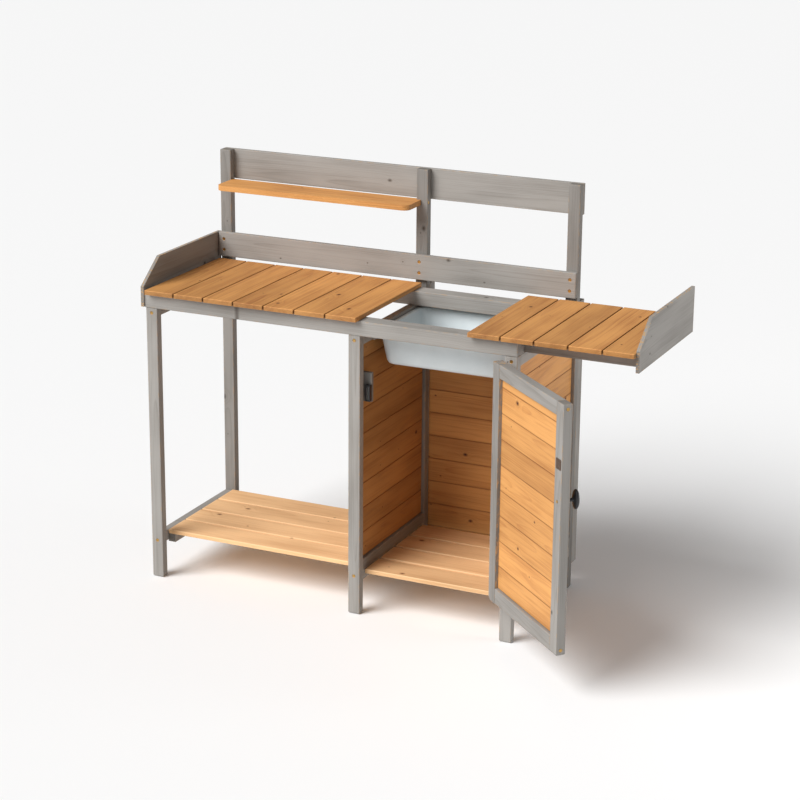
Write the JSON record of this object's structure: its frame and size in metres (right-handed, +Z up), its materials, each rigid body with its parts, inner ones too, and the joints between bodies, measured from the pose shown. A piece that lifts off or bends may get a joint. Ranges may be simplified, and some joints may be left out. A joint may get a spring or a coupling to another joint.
{
  "type": "potting bench",
  "caption": "Wooden potting bench with an open shelf bay, a cupboard with a hinged door, an inset basin, a sliding slatted worktop and a raised back with a small shelf.",
  "frame": {"origin": "on the ground, in the middle of the bounding box of the bench as stored, with its door open and its sliding top pulled out", "axes": "+Z up, +X to the right along the long side, -Y towards the front, where the door opens"},
  "size_m": [1.4796, 0.8004, 1.19],
  "materials": {
    "grey_stained_fir": "matte grey stain on softwood",
    "honey_stained_fir": "matte honey stain on softwood",
    "basin_plastic": "satin pale blue-grey moulded plastic",
    "black_plastic": "black moulded plastic",
    "zinc_plated_steel": "zinc plated sheet",
    "brass_screws": "yellow passivated"
  },
  "bodies": {
    "frame": {"left_leg": "grey_stained_fir", "middle_leg": "grey_stained_fir", "right_leg": "grey_stained_fir", "left_post": "grey_stained_fir", "middle_post": "grey_stained_fir", "right_post": "grey_stained_fir", "front_rail": "grey_stained_fir", "back_rail": "grey_stained_fir", "left_top_rail": "grey_stained_fir", "middle_top_rail": "grey_stained_fir", "right_top_rail": "grey_stained_fir", "left_bottom_rail": "grey_stained_fir", "middle_bottom_rail": "grey_stained_fir", "right_bottom_rail": "grey_stained_fir", "wall_sills": "grey_stained_fir", "lower_backboard": "grey_stained_fir", "upper_backboard": "grey_stained_fir", "small_shelf": "honey_stained_fir", "left_side_panel": "grey_stained_fir", "fixed_slat_1": "honey_stained_fir", "fixed_slat_2": "honey_stained_fir", "fixed_slat_3": "honey_stained_fir", "fixed_slat_4": "honey_stained_fir", "fixed_slat_5": "honey_stained_fir", "fixed_slat_6": "honey_stained_fir", "fixed_slat_7": "honey_stained_fir", "bay_floor_slats": "honey_stained_fir", "cabinet_floor_slats": "honey_stained_fir", "floor_cleats": "grey_stained_fir", "middle_wall_boards": "honey_stained_fir", "right_wall_boards": "honey_stained_fir", "back_boards": "honey_stained_fir", "back_stiles": "grey_stained_fir", "basin": "basin_plastic", "basin_cleats": "grey_stained_fir", "hinge_frame_leaves": "zinc_plated_steel", "catch_block": "grey_stained_fir", "magnetic_catch": "black_plastic", "frame_screws": "brass_screws"},
    "sliding_top": {"slide_slat_1": "honey_stained_fir", "slide_slat_2": "honey_stained_fir", "slide_slat_3": "honey_stained_fir", "slide_slat_4": "honey_stained_fir", "slide_slat_5": "honey_stained_fir", "slide_front_batten": "grey_stained_fir", "slide_back_batten": "grey_stained_fir", "slide_side_panel": "grey_stained_fir"},
    "door": {"door_hinge_stile": "grey_stained_fir", "door_free_stile": "grey_stained_fir", "door_top_rail_piece": "grey_stained_fir", "door_bottom_rail_piece": "grey_stained_fir", "door_boards": "honey_stained_fir", "door_knob": "black_plastic", "strike_plate": "zinc_plated_steel", "hinge_door_leaves": "zinc_plated_steel", "door_screws": "brass_screws"}
  },
  "joints": [
    {"name": "top_slide", "type": "slide", "parent": "frame", "child": "sliding_top", "axis": [1, 0, 0], "range_m": [-0.324, 0.04]},
    {"name": "door_hinge", "type": "hinge", "parent": "frame", "child": "door", "pos_m": [0.36425, -0.09994, 0.465], "axis": [0, 0, 1], "range_deg": [-137.5, 30]}
  ]
}
